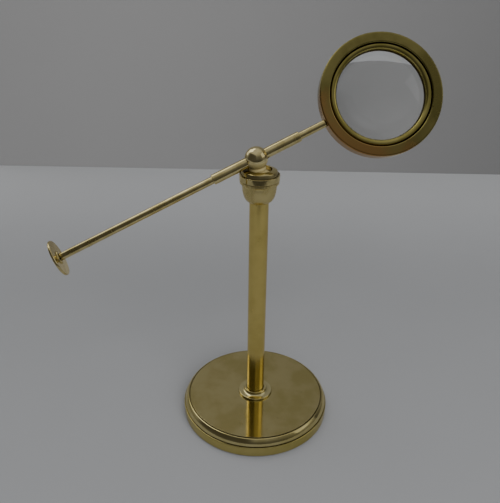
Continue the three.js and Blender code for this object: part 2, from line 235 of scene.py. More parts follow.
def mix(tree, share, first, second, blend="MIX"):
    """From the first colour to the second; each is three numbers or another node's output."""
    first, second = [item if isinstance(item, bpy.types.NodeSocket) else (*item, 1)
                     for item in (first, second)]
    made = add(tree, "MixRGB", {"blend_type": blend}, Fac=share, Color1=first, Color2=second)
    return made.outputs["Color"]


def noise(tree, place, scale, **inputs):
    return add(tree, "TexNoise", Vector=place, Scale=scale, **inputs).outputs["Fac"]


def blank(name):
    material = bpy.data.materials.new(name)
    material.use_nodes = True
    tree = material.node_tree
    return material, tree, tree.nodes["Principled BSDF"]


def mix_surface(tree, share, first, second):
    """Makes the surface go from the first shader to the second."""
    mixed = add_in_order(tree, "MixShader", None, share, first, second)
    feed(tree, tree.nodes["Material Output"].inputs["Surface"], mixed.outputs["Shader"])


# %% [markdown]
# Old brass is never one colour. Handling and polishing leave it bright on the open surfaces, a
# thin brown-green tone stays in soft patches, and the grooves keep dark polish that no cloth
# reaches. The lathe leaves rings so fine that they only blur what the metal reflects. A few small
# pits lie in the toned patches. These are painted in the piece's own coordinates, so that they
# turn and tilt with the piece. Ambient occlusion finds the grooves, which saves painting them
# by hand. It darkens every hollow, and every place where a part meets another or the table, so
# this darkening is painted shade as well as old polish.

# %% Patterns in the brass
RINGS_PER_PATCH = 60
SPECKS_PER_PATCH = 12
PITS_PER_PATCH = 3.5
RING_BUMP = 0.004 * MM
RIPPLE_BUMP = 0.03 * MM
GROOVE_REACH = 1.6 * MM
GROOVE_SHADE = 0.9
PIT_DARK = 0.6
GRIME_ROUGHNESS = 0.3
STAIN_WAVE = 6 * MM
STAIN_STRENGTH = 0.9


def lathe_rings(tree, own, scale):
    """A noise that only changes with the radius and the height of a turned piece."""
    parts = add(tree, "SeparateXYZ", Vector=own)
    flat = add(tree, "CombineXYZ", X=parts.outputs["X"], Y=parts.outputs["Y"])
    radius = add(tree, "VectorMath", {"operation": "LENGTH"}, Vector=flat.outputs["Vector"])
    rings = add(tree, "CombineXYZ", X=radius.outputs["Value"], Y=parts.outputs["Z"])
    return noise(tree, rings.outputs["Vector"], scale, Detail=4.0, Roughness=0.6)


def stained(tree, colour, own, patches, heat, side, from_reach, to_reach):
    """A colour that shows through towards one side, with a wavy edge."""
    wave = spread(tree, patches, 0.35, 0.65, -STAIN_WAVE, STAIN_WAVE)
    reach = math_node(tree, "ADD", dot_product(tree, own, (*side, 0)), wave)
    return mix(tree, spread(tree, reach, from_reach, to_reach, 0.0, STAIN_STRENGTH), colour, heat)


def darkened_below(tree, colour, height, tint, below, above, strength):
    """A colour that lies on the metal up to a height."""
    return mix(tree, spread(tree, height, below, above, strength, 0.0), colour, tint)


def groove_shade_and_pits(tree, own, height, tone, patch_size, satin):
    """How much to darken: painted shade and old polish in grooves and meetings, and the pits."""
    shade = add(tree, "AmbientOcclusion", {"samples": 8}, Distance=GROOVE_REACH)
    # Ambient occlusion darkens the grooves and the places where parts meet: painted shade, with old
    # polish.
    groove = spread(tree, shade.outputs["AO"], 0.25, 0.8, GROOVE_SHADE, 0.0)
    if satin:
        groove = math_node(tree, "MULTIPLY", groove, spread(tree, height, *satin, 0.0, 1.0))
    dots = add(tree, "TexVoronoi", Vector=own, Scale=PITS_PER_PATCH / patch_size)
    pit = spread(tree, dots.outputs["Distance"], 0.03, 0.1, PIT_DARK, 0.0)
    return math_node(tree, "MAXIMUM", groove, math_node(tree, "MULTIPLY", tone, pit))


def roughness(tree, own, tone, shade_and_pits, polish, dull, patch_size):
    """The polish, dulled by fine specks in the toned patches and where the colour is darkened."""
    specks = noise(tree, own, SPECKS_PER_PATCH / patch_size, Detail=3.0)
    haze = math_node(tree, "MULTIPLY", spread(tree, specks, 0.35, 0.75, 0.0, 1.0), tone)
    rough = spread(tree, haze, 0.0, 0.8, polish, dull)
    return math_node(tree, "ADD", rough, math_node(tree, "MULTIPLY", shade_and_pits, GRIME_ROUGHNESS))


def fine_relief(tree, own, patches, patch_size):
    """The lathe's rings, and the soft ripple that years of polishing leave."""
    rings = lathe_rings(tree, own, RINGS_PER_PATCH / patch_size)
    bump = add(tree, "Bump", Strength=0.35, Distance=RING_BUMP, Height=rings)
    ripple = add(tree, "Bump", Strength=0.5, Distance=RIPPLE_BUMP, Height=patches,
                 Normal=bump.outputs["Normal"])
    return ripple.outputs["Normal"]


# %% [markdown]
# Each finish has two colours, bright and toned, and two roughnesses, polish and dull. Three more
# things can be added: a stain on one side, a darker colour up to a height, and a satin part, up
# to a height as well, where the metal was never polished. The satin part of the arm ball is its
# underside, and the neck is satin all over, so its limit lies above its top.

# %% Brass finishes
SATIN_ROUGHNESS = 0.45
SATIN_METAL = 0.45
SATIN_TONE = (0.34, 0.285, 0.12)
EDGE_TINT = (1.0, 0.96, 0.88)
GRIME_AND_SHADE = (0.045, 0.026, 0.01)
PLINTH_TONE = (0.46, 0.38, 0.07)
DARK_BROWN = (0.09, 0.055, 0.025)
COPPER_STAIN = (0.47, 0.26, 0.09), (-0.83, -0.56), 13 * MM, 34 * MM
BALL_UNDERSIDE = -1.5 * MM, -1.1 * MM
WHOLE_NECK = 20 * MM, 21 * MM


def brass(name, bright, toned, polish, dull, patch_size, shade_and_grime=GRIME_AND_SHADE,
          stain=None, satin=None, darker_below=None):
    material, tree, shader = blank(name)
    own = add(tree, "Attribute", {"attribute_name": "own"}).outputs["Vector"]
    height = add(tree, "SeparateXYZ", Vector=own).outputs["Z"]
    patches = noise(tree, own, 1 / patch_size, Detail=5.0, Roughness=0.55)
    tone = spread(tree, patches, 0.38, 0.66, 0.0, 1.0)
    colour = mix(tree, tone, bright, toned)
    if stain:
        colour = stained(tree, colour, own, patches, *stain)
    if darker_below:
        colour = darkened_below(tree, colour, height, *darker_below)
    shade_and_pits = groove_shade_and_pits(tree, own, height, tone, patch_size, satin)
    # Painted shade and old polish in the grooves and where parts meet, and the pits, darken the
    # colour here.
    feed(tree, shader.inputs["Base Color"], mix(tree, shade_and_pits, colour, shade_and_grime))
    rough = roughness(tree, own, tone, shade_and_pits, polish, dull, patch_size)
    metallic = 1.0
    if satin:
        satin_rough = spread(tree, height, *satin, SATIN_ROUGHNESS, 0.0)
        rough = math_node(tree, "MAXIMUM", rough, satin_rough)
        metallic = spread(tree, height, *satin, SATIN_METAL, 1.0)
    feed(tree, shader.inputs["Roughness"], rough)
    feed(tree, shader.inputs["Metallic"], metallic)
    feed(tree, shader.inputs["Normal"], fine_relief(tree, own, patches, patch_size))
    shader.inputs["Specular Tint"].default_value = (*EDGE_TINT, 1)
    return material


stand_brass = brass(
    "stand_brass", bright=(0.66, 0.57, 0.27), toned=(0.56, 0.475, 0.19), polish=0.1, dull=0.2,
    patch_size=0.02, darker_below=(PLINTH_TONE, 7.9 * MM, 8.3 * MM, 0.5))
collar_brass = brass(
    "collar_brass", bright=(0.78, 0.69, 0.36), toned=(0.7, 0.61, 0.29), polish=0.12, dull=0.2,
    patch_size=0.01)
pillar_brass = brass(
    "pillar_brass", bright=(0.69, 0.55, 0.18), toned=(0.62, 0.49, 0.15), polish=0.17, dull=0.27,
    patch_size=0.012)
arm_brass = brass(
    "arm_brass", bright=(0.72, 0.61, 0.3), toned=(0.56, 0.465, 0.2), polish=0.14, dull=0.28,
    patch_size=0.008)
joint_brass = brass(
    "joint_brass", bright=(0.66, 0.555, 0.25), toned=(0.55, 0.455, 0.19), polish=0.24, dull=0.34,
    patch_size=0.006)
cap_brass = brass(
    "cap_brass", bright=(0.66, 0.56, 0.27), toned=(0.54, 0.45, 0.2), polish=0.1, dull=0.22,
    patch_size=0.006)
ball_brass = brass(
    "ball_brass", bright=(0.78, 0.67, 0.35), toned=(0.68, 0.57, 0.27), polish=0.08, dull=0.2,
    patch_size=0.006, satin=BALL_UNDERSIDE, darker_below=(SATIN_TONE, *BALL_UNDERSIDE, 0.8))
neck_brass = brass(
    "neck_brass", bright=(0.5, 0.42, 0.2), toned=(0.44, 0.365, 0.165), polish=SATIN_ROUGHNESS,
    dull=0.55, patch_size=0.006, shade_and_grime=SATIN_TONE, satin=WHOLE_NECK)
ring_brass = brass(
    "ring_brass", bright=(0.34, 0.295, 0.1), toned=(0.23, 0.2, 0.062), polish=0.14, dull=0.28,
    patch_size=0.022, shade_and_grime=DARK_BROWN, stain=COPPER_STAIN, darker_below=(DARK_BROWN, 2.6 * MM, 3.3 * MM, 0.35))
# The retaining ring's dark band by the glass is painted shade.
retainer_brass = brass(
    "retainer_brass", bright=(0.44, 0.38, 0.125), toned=(0.36, 0.31, 0.085), polish=0.12,
    dull=0.24, patch_size=0.012, shade_and_grime=DARK_BROWN, darker_below=(DARK_BROWN, 1.2 * MM, 2.9 * MM, 0.85))
print("brass finishes:", [item.name for item in bpy.data.materials if item.name.endswith("_brass")])

# %% [markdown]
# The base is the heaviest turning: a plinth, a groove, a rounded shoulder, a second groove and a
# flat polished disc, hollow underneath for the iron weight. One closed outline makes it in a
# single spin. The corner of each groove is left as sharp as the small bevel allows, because the
# photograph shows both grooves as fine dark lines.

# %% Base
WIDE_STEPS = 192
BASE_RADIUS = 54
BASE_TOP = 14
STUD_HOLE = 3.1
HOLLOW_RADIUS = 45
HOLLOW_TOP = 9.5
RECESS_RADIUS = 51
RECESS_TOP = 1.2
FOOT_HEIGHT = 0.4
FOOT_BEVEL = 0.6
PLINTH_TOP = 8.1
PLINTH_ROUND = 0.5
GROOVE = 0.65
GROOVE_DEPTH = 0.8
SHOULDER_PULL = 11.1
SHOULDER_BEND = 51.2, 13.1
CROWN_PULL = 50.8
CROWN = BASE_TOP - 0.3
DISC_RADIUS = 49.5


def make_base():
    groove_floor, shoulder = BASE_RADIUS - 1.4, BASE_RADIUS - 0.8
    groove_top, disc_edge = PLINTH_TOP + GROOVE, DISC_RADIUS + GROOVE
    outline = Outline(STUD_HOLE, HOLLOW_TOP).line(
        (HOLLOW_RADIUS, HOLLOW_TOP), (HOLLOW_RADIUS, RECESS_TOP), (RECESS_RADIUS, RECESS_TOP),
        (RECESS_RADIUS, FOOT_HEIGHT), (BASE_RADIUS - FOOT_BEVEL, FOOT_HEIGHT),
        (BASE_RADIUS, FOOT_HEIGHT + FOOT_BEVEL), (BASE_RADIUS, PLINTH_TOP - PLINTH_ROUND))
    outline.curve((BASE_RADIUS, PLINTH_TOP), (BASE_RADIUS - PLINTH_ROUND, PLINTH_TOP), 4)
    outline.line((groove_floor, PLINTH_TOP), (groove_floor, groove_top), (shoulder, groove_top))
    outline.curve((shoulder, SHOULDER_PULL), SHOULDER_BEND, 12)
    outline.curve((CROWN_PULL, CROWN), (disc_edge, CROWN), 5)
    outline.line((disc_edge, CROWN - GROOVE_DEPTH), (DISC_RADIUS, CROWN - GROOVE_DEPTH),
                 (DISC_RADIUS, BASE_TOP), (STUD_HOLE, BASE_TOP)).close()
    return soften(turn(outline, WIDE_STEPS), width=0.14)


finish_piece(make_base(), "turned_base", stand_brass, "stand", "base_body")

# %% [markdown]
# The foot collar covers the joint between pillar and base. It is a thin flange that sweeps up in
# a cove to a narrow ring, and a loose fit on the tube.

# %% Foot collar and pillar
FINE_STEPS = 128
PILLAR_RADIUS = 6.35
PILLAR_WALL = 1.1
PILLAR_TOP = 169.3
FLANGE_RADIUS = 12.3
FLANGE_TOP = BASE_TOP + 1.5
COVE_START = 11.9
COVE_TOP = BASE_TOP + 2.8
COLLAR_RADIUS = 8.3
COLLAR_TOP = BASE_TOP + 4.2


def make_collar():
    hole = PILLAR_RADIUS + 0.1
    outline = Outline(hole, BASE_TOP).line(
        (FLANGE_RADIUS, BASE_TOP), (FLANGE_RADIUS, FLANGE_TOP), (COVE_START, FLANGE_TOP))
    outline.curve((COLLAR_RADIUS, FLANGE_TOP), (COLLAR_RADIUS, COVE_TOP), 10)
    outline.line((COLLAR_RADIUS, COLLAR_TOP), (hole, COLLAR_TOP)).close()
    return soften(turn(outline, FINE_STEPS), width=0.3)


def make_pillar():
    inner = PILLAR_RADIUS - PILLAR_WALL
    outline = Outline(inner, BASE_TOP).line(
        (PILLAR_RADIUS, BASE_TOP), (PILLAR_RADIUS, PILLAR_TOP), (inner, PILLAR_TOP)).close()
    return soften(turn(outline, FINE_STEPS), width=0.1)


finish_piece(make_collar(), "foot_collar_turned", collar_brass,
             "stand", "foot_collar")
finish_piece(make_pillar(), "pillar_tube_drawn", pillar_brass,
             "stand", "pillar_tube")

# %% [markdown]
# The cup is screwed into the pillar's head. Its bowl holds the leather seat and the lower ball,
# its flange is a stop for the cap, and a threaded neck stands up inside the cap. The photograph
# shows the cap's front dark and its top shining, so its side is nearly upright and its top a
# shallow dome.

# %% Cup and cap
PIVOT = 182.05
BALL_GRIP = 9.65
CUP_SCREW = 3
CUP_SCREW_LOW = PILLAR_TOP - 9
CUP_RADIUS = 11.2
CUP_FLANGE = 12.7
CUP_FLANGE_TOP = PIVOT + 2.1
CUP_NECK = 11.6
CUP_NECK_TOP = PIVOT + 4.1
CAP_FLOOR = CUP_FLANGE_TOP + 0.1
CAP_BORE = CUP_NECK + 0.1
CAP_SHELF = CUP_NECK_TOP + 0.1
CAP_RADIUS = 13
CAP_BAND_TOP = PIVOT + 6
CAP_STEP = PIVOT + 5.5
CAP_SIDE = 11.8
CAP_HOLE = 7.5
CAP_LIP = 7.9
CAP_TOP = PIVOT + 9.5


def make_cup():
    foot = PILLAR_RADIUS + 0.2
    inner, bowl = BALL_GRIP + 0.15, BALL_GRIP + 1.1
    drop = math.acos(inner / bowl)
    outline = Outline(0, CUP_SCREW_LOW).line(
        (CUP_SCREW - 0.6, CUP_SCREW_LOW), (CUP_SCREW, CUP_SCREW_LOW + 0.6),
        (CUP_SCREW, PILLAR_TOP), (foot, PILLAR_TOP))
    outline.curve((CUP_RADIUS - 0.3, PILLAR_TOP + 1.5), (CUP_RADIUS, PIVOT - 1.5), 20)
    outline.curve((CUP_RADIUS, PIVOT), (CUP_FLANGE - 0.3, PIVOT), 8)
    outline.line((CUP_FLANGE, PIVOT + 0.3), (CUP_FLANGE, CUP_FLANGE_TOP - 0.3),
                 (CUP_FLANGE - 0.3, CUP_FLANGE_TOP), (CUP_NECK, CUP_FLANGE_TOP),
                 (CUP_NECK, CUP_NECK_TOP), (inner, CUP_NECK_TOP),
                 (inner, PIVOT - bowl * math.sin(drop)))
    outline.arc(0, PIVOT, math.degrees(drop) - 90, 16)
    return soften(turn(outline, FINE_STEPS), width=0.1)


def make_cap():
    hole_low = PIVOT + math.sqrt(BALL_GRIP ** 2 - CAP_HOLE ** 2)
    grip = math.acos(CAP_HOLE / BALL_GRIP) - math.asin((CAP_SHELF - PIVOT) / BALL_GRIP)
    outline = Outline(CAP_BORE, CAP_FLOOR).line((CAP_RADIUS - 0.25, CAP_FLOOR))
    outline.curve((CAP_RADIUS, CAP_FLOOR), (CAP_RADIUS, CAP_FLOOR + 0.3), 3)
    outline.line((CAP_RADIUS, CAP_BAND_TOP - 0.4))
    outline.curve((CAP_RADIUS, CAP_BAND_TOP), (CAP_RADIUS - 0.4, CAP_BAND_TOP), 3)
    outline.line((CAP_RADIUS - 0.65, CAP_BAND_TOP), (CAP_RADIUS - 0.65, CAP_STEP),
                 (CAP_SIDE, CAP_STEP))
    outline.curve((CAP_SIDE - 0.2, PIVOT + 7.2), (CAP_SIDE - 0.65, PIVOT + 8.35), 8)
    outline.curve((9.7, PIVOT + 9.1), (CAP_LIP + 0.3, CAP_TOP - 0.1), 12)
    outline.curve((CAP_LIP, CAP_TOP), (CAP_LIP, CAP_TOP - 0.3), 4)
    outline.line((CAP_LIP - 0.1, PIVOT + 7.2), (CAP_HOLE, hole_low))
    outline.arc(0, PIVOT, -math.degrees(grip), 6)
    outline.line((CAP_BORE, CAP_SHELF)).close()
    return soften(turn(outline, FINE_STEPS), width=0.12)


finish_piece(make_cup(), "socket_cup_turned", joint_brass, "stand", "socket_cup")
finish_piece(make_cap(), "domed_cap", cap_brass, "cap", "socket_cap")

# %% [markdown]
# The head leans back from the lens by a few degrees, and the arm rises towards it. Three nested
# turns give every piece of the arm its place: the head about the pivot, the arm about the upper
# ball's centre, and the rod rolled in its sleeve.

# %% Places of the head, the arm and the lens
LEAN = math.radians(8.5)
RISE = math.radians(23.65)
ROLL = math.radians(29.2)
QUARTER = math.pi / 2
BALL_SPACING = 16.6
LENS_REACH = 87.2

head_place = Matrix.Translation((0, 0, PIVOT)) @ Matrix.Rotation(-LEAN, 4, "Y")
ball_place = head_place @ Matrix.Translation((0, 0, BALL_SPACING))
arm_place = ball_place @ Matrix.Rotation(LEAN - RISE, 4, "Y")
sleeve_place = arm_place @ Matrix.Rotation(QUARTER, 4, "Y")
rolled = arm_place @ Matrix.Rotation(-ROLL, 4, "X")
rod_place = rolled @ Matrix.Rotation(QUARTER, 4, "Y")
lens_place = rolled @ Matrix.Translation((LENS_REACH, 0, 0)) @ Matrix.Rotation(QUARTER, 4, "X")
print("arm ball at", [round(value, 2) for value in ball_place.translation])
print("lens at", [round(value, 2) for value in lens_place.translation])

# %% [markdown]
# The lower ball is one turning with its neck. The upper ball is spun about the arm instead of the
# neck, so that the sleeve's bore comes out of the same outline, with no boolean. A flat under it
# meets the neck, and an inset and an extrusion sink the hole for the neck's screw.

# %% Lower ball and arm ball
STEM_BALL = 9.5
NECK = 4.6
NECK_COLLAR = 5.4
NECK_COLLAR_LOW = 8.8
NECK_SCREW = 1.8
NECK_SCREW_LONG = 1.3
ARM_BALL = 7.35
SLEEVE_RADIUS = 3.35
BALL_FLAT = math.sqrt(ARM_BALL ** 2 - NECK ** 2)


def make_stem():
    neck_top = BALL_SPACING - BALL_FLAT - 0.05
    screw_top = neck_top + NECK_SCREW_LONG
    around = 90 + math.degrees(math.acos(NECK / STEM_BALL))
    outline = Outline(0, -STEM_BALL).arc(0, 0, around, 40).line((NECK, NECK_COLLAR_LOW))
    outline.curve((NECK_COLLAR, NECK_COLLAR_LOW), (NECK_COLLAR, NECK_COLLAR_LOW + 0.6), 5)
    outline.line((NECK_COLLAR - 0.3, neck_top - 0.3), (NECK, neck_top), (NECK_SCREW, neck_top),
                 (NECK_SCREW, screw_top), (0, screw_top))
    return soften(turn(outline, FINE_STEPS), width=0.1)


def spun_ball():
    """The arm ball with its bore, turned from the lathe's axis to the arm's."""
    bore = SLEEVE_RADIUS + 0.1
    half = math.degrees(math.acos(bore / ARM_BALL))
    mouth = math.sqrt(ARM_BALL ** 2 - bore ** 2)
    ball = turn(Outline(bore, -mouth).arc(0, 0, 2 * half, 48).close(), FINE_STEPS)
    along_arm = Matrix.Rotation(QUARTER + LEAN - RISE, 3, "Y")
    bmesh.ops.rotate(ball, cent=(0, 0, 0), matrix=along_arm, verts=ball.verts)
    return ball


def make_arm_ball():
    ball = spun_ball()
    made = bmesh.ops.bisect_plane(
        ball, geom=ball.verts[:] + ball.edges[:] + ball.faces[:], dist=MM,
        plane_co=(0, 0, -BALL_FLAT), plane_no=(0, 0, -1), clear_outer=True)
    rim = [item for item in made["geom_cut"] if isinstance(item, bmesh.types.BMEdge)]
    face = bmesh.ops.contextual_create(ball, geom=rim)["faces"]
    screw_hole = NECK_SCREW + 0.1
    bmesh.ops.inset_region(ball, faces=face, thickness=NECK - screw_hole, use_even_offset=True)
    walls = bmesh.ops.extrude_face_region(ball, geom=face)["geom"]
    deeper = [item for item in walls if isinstance(item, bmesh.types.BMVert)]
    bmesh.ops.translate(ball, vec=(0, 0, NECK_SCREW_LONG + 0.2), verts=deeper)
    bmesh.ops.delete(ball, geom=face, context="FACES_ONLY")
    bmesh.ops.recalc_face_normals(ball, faces=ball.faces)
    return soften(ball, width=0.16)


finish_piece(make_stem(), "lower_ball_and_neck", neck_brass,
             "head", "stem_ball", head_place)
finish_piece(make_arm_ball(), "drilled_arm_ball", ball_brass,
             "head", "arm_ball", ball_place)

# %% [markdown]
# The sleeve is a short tube through the ball, and the rod slides and turns in it. The knob is a
# thin disc at the hand end, a little domed outside, with a low hub where the rod is screwed in.

# %% Sleeve, rod and knob
SLEEVE_HALF = 30.2
ROD_RADIUS = 2.4
ROD_SCREW = 1.7
ROD_SCREW_BEVEL = 0.3
RING_RADIUS = 38.75
KNOB_REACH = 135.9
KNOB_RADIUS = 11.75
KNOB_THICK = 1.6
KNOB_BEVEL = 0.35
KNOB_DOME = 0.9
KNOB_HOLE = 1.8
HUB_RADIUS = 4.2
HUB_HEIGHT = 0.7


def make_sleeve():
    bore = ROD_RADIUS + 0.47
    outline = Outline(bore, -SLEEVE_HALF).line(
        (SLEEVE_RADIUS, -SLEEVE_HALF), (SLEEVE_RADIUS, SLEEVE_HALF), (bore, SLEEVE_HALF)).close()
    return soften(turn(outline, FINE_STEPS), width=0.18)


def make_rod():
    low, high = -KNOB_REACH, LENS_REACH - RING_RADIUS
    screw_low, screw_high = low - 2.5, high + 4.4
    tip = ROD_SCREW - ROD_SCREW_BEVEL
    outline = Outline(0, screw_low).line(
        (tip, screw_low), (ROD_SCREW, screw_low + ROD_SCREW_BEVEL), (ROD_SCREW, low + 1),
        (ROD_RADIUS, low + 1), (ROD_RADIUS, high - 0.3), (ROD_SCREW, high - 0.3),
        (ROD_SCREW, screw_high - ROD_SCREW_BEVEL), (tip, screw_high), (0, screw_high))
    return soften(turn(outline, FINE_STEPS), width=0.1)


def make_knob():
    inside, outside = -KNOB_REACH, -KNOB_REACH - KNOB_THICK
    rim = KNOB_RADIUS - KNOB_BEVEL
    outline = Outline(KNOB_HOLE, outside - KNOB_DOME)
    outline.curve((KNOB_RADIUS / 2, outside - KNOB_DOME), (rim, outside), 12)
    outline.line((KNOB_RADIUS, outside + KNOB_BEVEL), (KNOB_RADIUS, inside - KNOB_BEVEL),
                 (rim, inside), (HUB_RADIUS + HUB_HEIGHT, inside))
    outline.curve((HUB_RADIUS, inside), (HUB_RADIUS, inside + HUB_HEIGHT), 4)
    outline.line((KNOB_HOLE, inside + HUB_HEIGHT)).close()
    return soften(turn(outline, FINE_STEPS), width=0.12)


finish_piece(make_sleeve(), "arm_sleeve_tube", arm_brass,
             "head", "arm_sleeve", sleeve_place)
finish_piece(make_rod(), "sliding_rod", arm_brass,
             "arm", "slide_rod", rod_place)
finish_piece(make_knob(), "disc_knob", arm_brass,
             "arm", "knob_disc", rod_place)

# %% [markdown]
# The lens ring is turned from one piece. A second ring screws in from the front, over a dark gap,
# and is rounded over towards the glass. Both are drawn about the lens's own axis.

# %% Lens ring and retaining ring
RING_FRONT = 4.5
RING_ROUND = 1.1
RING_BORE = 32.3
BORE_CHAMFER = 0.5
REAR_OPENING = 29.2
REAR_FLARE = 0.8
RETAINER_OPENING = 27.9
RETAINER_CHAMFER = 1.1
GLASS_RADIUS = 30.4
GLASS_CURVE = 84
GLASS_FRONT = RING_FRONT - 5.9
GLASS_EDGE = 1
GLASS_GAP = 0.3


def glass_fall(radius):
    """How far the glass falls back from its middle at a radius."""
    return GLASS_CURVE - math.sqrt(GLASS_CURVE ** 2 - radius ** 2)


def make_ring():
    back, pocket = -RING_FRONT, GLASS_RADIUS + 0.1
    glass_back = GLASS_FRONT - GLASS_EDGE - glass_fall(GLASS_RADIUS)
    ledge = glass_back + glass_fall(REAR_OPENING) - GLASS_GAP
    outline = Outline(REAR_OPENING + REAR_FLARE, back).line(
        (RING_RADIUS, back), (RING_RADIUS, RING_FRONT - RING_ROUND))
    outline.curve((RING_RADIUS, RING_FRONT), (RING_RADIUS - RING_ROUND, RING_FRONT), 8)
    outline.line((RING_BORE + BORE_CHAMFER, RING_FRONT), (RING_BORE, RING_FRONT - BORE_CHAMFER),
                 (RING_BORE, GLASS_FRONT), (pocket, GLASS_FRONT), (pocket, ledge),
                 (REAR_OPENING, ledge), (REAR_OPENING, back + REAR_FLARE)).close()
    return soften(turn(outline, WIDE_STEPS), width=0.25)


def make_retainer():
    outside, top = RING_BORE - 0.1, RING_FRONT - 0.5
    low = GLASS_FRONT + glass_fall(GLASS_RADIUS) - glass_fall(RETAINER_OPENING) + GLASS_GAP
    outline = Outline(RETAINER_OPENING, low).line(
        (outside, low), (outside, top - RETAINER_CHAMFER), (outside - RETAINER_CHAMFER, top),
        (outside - RETAINER_CHAMFER - 0.6, top))
    outline.curve((RETAINER_OPENING, top), (RETAINER_OPENING, low + 0.8), 18).close()
    return soften(turn(outline, WIDE_STEPS), width=0.12)


finish_piece(make_ring(), "lens_ring_turned", ring_brass,
             "arm", "lens_frame", lens_place)
finish_piece(make_retainer(), "retaining_ring", retainer_brass,
             "arm", "lens_retainer", lens_place)

# %% [markdown]
# The glass is biconvex, with both faces ground to the same curve. Its power sets what shows
# through it: the room behind, upside down, so that a sliver of the table appears at the top. The
# two arcs are spun finely, because every facet would bend that picture.

# %% Lens
CROWN_INDEX = 1.52
CLEAR = (1.0, 1.0, 1.0)
SMEARED = (0.95, 0.97, 0.96)


def glass():
    material, tree, shader = blank("crown_glass")
    own = add(tree, "Attribute", {"attribute_name": "own"}).outputs["Vector"]
    smears = noise(tree, own, 70.0, Detail=4.0, Distortion=0.6)
    feed(tree, shader.inputs["Roughness"], spread(tree, smears, 0.5, 0.8, 0.0, 0.05))
    feed(tree, shader.inputs["Base Color"], mix(tree, smears, CLEAR, SMEARED))
    shader.inputs["Transmission Weight"].default_value = 1.0
    shader.inputs["IOR"].default_value = CROWN_INDEX
    return material


def make_lens():
    fall = glass_fall(GLASS_RADIUS)
    back = GLASS_FRONT - GLASS_EDGE - fall
    slope = math.degrees(math.asin(GLASS_RADIUS / GLASS_CURVE))
    outline = Outline(0, back).arc(0, back + GLASS_CURVE, slope, 32)
    outline.line((GLASS_RADIUS, GLASS_FRONT)).arc(0, GLASS_FRONT + fall - GLASS_CURVE, slope, 32)
    return soften(turn(outline, WIDE_STEPS), width=0.15)


finish_piece(make_lens(), "biconvex_lens", glass(), "arm", "lens", lens_place)

# %% [markdown]
# The pieces that never show keep their CAD shapes and still get real finishes: the iron weight is
# cast and rusty in its pores, the washer and nut are bright steel, the plugs are plain turned
# brass, and the baize and the leather have their own grain.

# %% Finishes of the hidden pieces
def hidden_finish(name, first, second, scale, rough, metallic, depth, cells=False):
    """A mottled surface on object coordinates, with a bump of the same pattern."""
    material, tree, shader = blank(name)
    place = add(tree, "TexCoord").outputs["Object"]
    if cells:
        pattern = add(tree, "TexVoronoi", Vector=place, Scale=scale).outputs["Distance"]
    else:
        pattern = noise(tree, place, scale)
    soft = noise(tree, place, scale / 8, Detail=4.0)
    share = math_node(tree, "MULTIPLY", pattern, math_node(tree, "ADD", soft, 0.5))
    feed(tree, shader.inputs["Base Color"], mix(tree, share, first, second))
    feed(tree, shader.inputs["Roughness"], spread(tree, soft, 0.3, 0.7, rough, rough + 0.2))
    bump = add(tree, "Bump", Strength=0.6, Distance=depth * MM, Height=pattern)
    feed(tree, shader.inputs["Normal"], bump.outputs["Normal"])
    shader.inputs["Metallic"].default_value = metallic
    return material


HIDDEN = {
    "base_weight": hidden_finish(
        "cast_iron", (0.05, 0.048, 0.045), (0.16, 0.07, 0.03),
        scale=900, rough=0.55, metallic=0.7, depth=0.15),
    "base_washer": hidden_finish(
        "washer_steel", (0.5, 0.5, 0.5), (0.36, 0.35, 0.34),
        scale=700, rough=0.25, metallic=1, depth=0.02),
    "base_nut": hidden_finish(
        "nut_steel", (0.46, 0.46, 0.47), (0.3, 0.29, 0.28),
        scale=500, rough=0.28, metallic=1, depth=0.03),
    "base_baize": hidden_finish(
        "green_baize", (0.02, 0.09, 0.045), (0.045, 0.15, 0.08),
        scale=2200, rough=0.8, metallic=0, depth=0.2, cells=True),
    "ball_seat": hidden_finish(
        "seat_leather", (0.16, 0.075, 0.03), (0.07, 0.03, 0.014),
        scale=1400, rough=0.55, metallic=0, depth=0.08, cells=True),
    "sleeve_liner": hidden_finish(
        "liner_leather", (0.2, 0.1, 0.045), (0.1, 0.05, 0.02),
        scale=1800, rough=0.5, metallic=0, depth=0.05, cells=True),
    "pillar_foot_plug": hidden_finish(
        "plug_brass", (0.6, 0.47, 0.2), (0.42, 0.32, 0.12),
        scale=300, rough=0.25, metallic=1, depth=0.02),
    "pillar_head_plug": hidden_finish(
        "bored_plug_brass", (0.62, 0.49, 0.2), (0.45, 0.34, 0.13),
        scale=340, rough=0.25, metallic=1, depth=0.02),
}


def paint_hidden():
    for name, material in HIDDEN.items():
        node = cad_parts[name]
        node.data.materials.clear()
        node.data.materials.append(material)
    print("hidden pieces painted:", sorted(HIDDEN))


paint_hidden()

# %% [markdown]
# The stage is a pale table that ends at a plain wall. The line between them matters here, because
# the lens turns it over, so the wall stands where the photograph shows it. Polished brass shows
# the room as well: the dark band round the middle of the ball is the room past the table's near
# edge, so the table ends there too, and the wall ends on the left, where a window lights it. The
# table's paint gets paler towards the wall and the wall's gets darker to the right: both are
# painted light, the slow fall of the light that the photograph shows. The wall is drawn from the
# front only, which lets the other views look through it from behind.
#
# A soft dark card in front stands for the photographer. Only the metal sees it, and it gives the
# foot of the pillar its dark stripe. Without such a card a polished tube looks flat.

